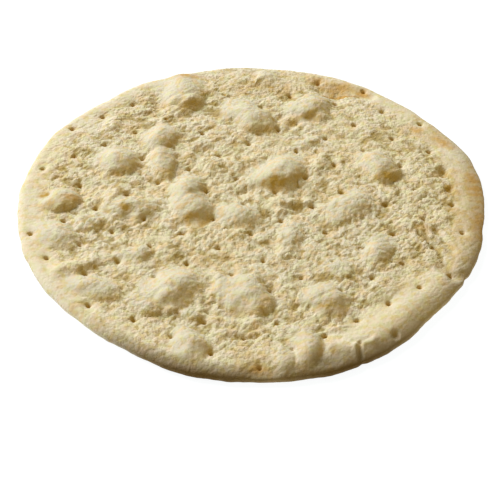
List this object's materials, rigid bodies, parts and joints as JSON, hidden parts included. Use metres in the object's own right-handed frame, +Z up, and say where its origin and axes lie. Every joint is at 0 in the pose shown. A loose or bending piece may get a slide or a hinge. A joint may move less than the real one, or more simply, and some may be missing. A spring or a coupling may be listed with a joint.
{
  "type": "pizza base",
  "caption": "Round flat par-baked pizza base with a blistered, wrinkled top, rows of docking holes and a rounded, lightly browned rim.",
  "frame": {"origin": "on the resting surface, under the middle of the base's bounding box", "axes": "+Z up through the base's thickness, +X to the right in the picture, +Y away from the camera"},
  "size_m": [0.3088, 0.3092, 0.0155],
  "materials": {
    "baked_dough": null
  },
  "bodies": {
    "root": {"pizza_base": "baked_dough"}
  },
  "joints": []
}
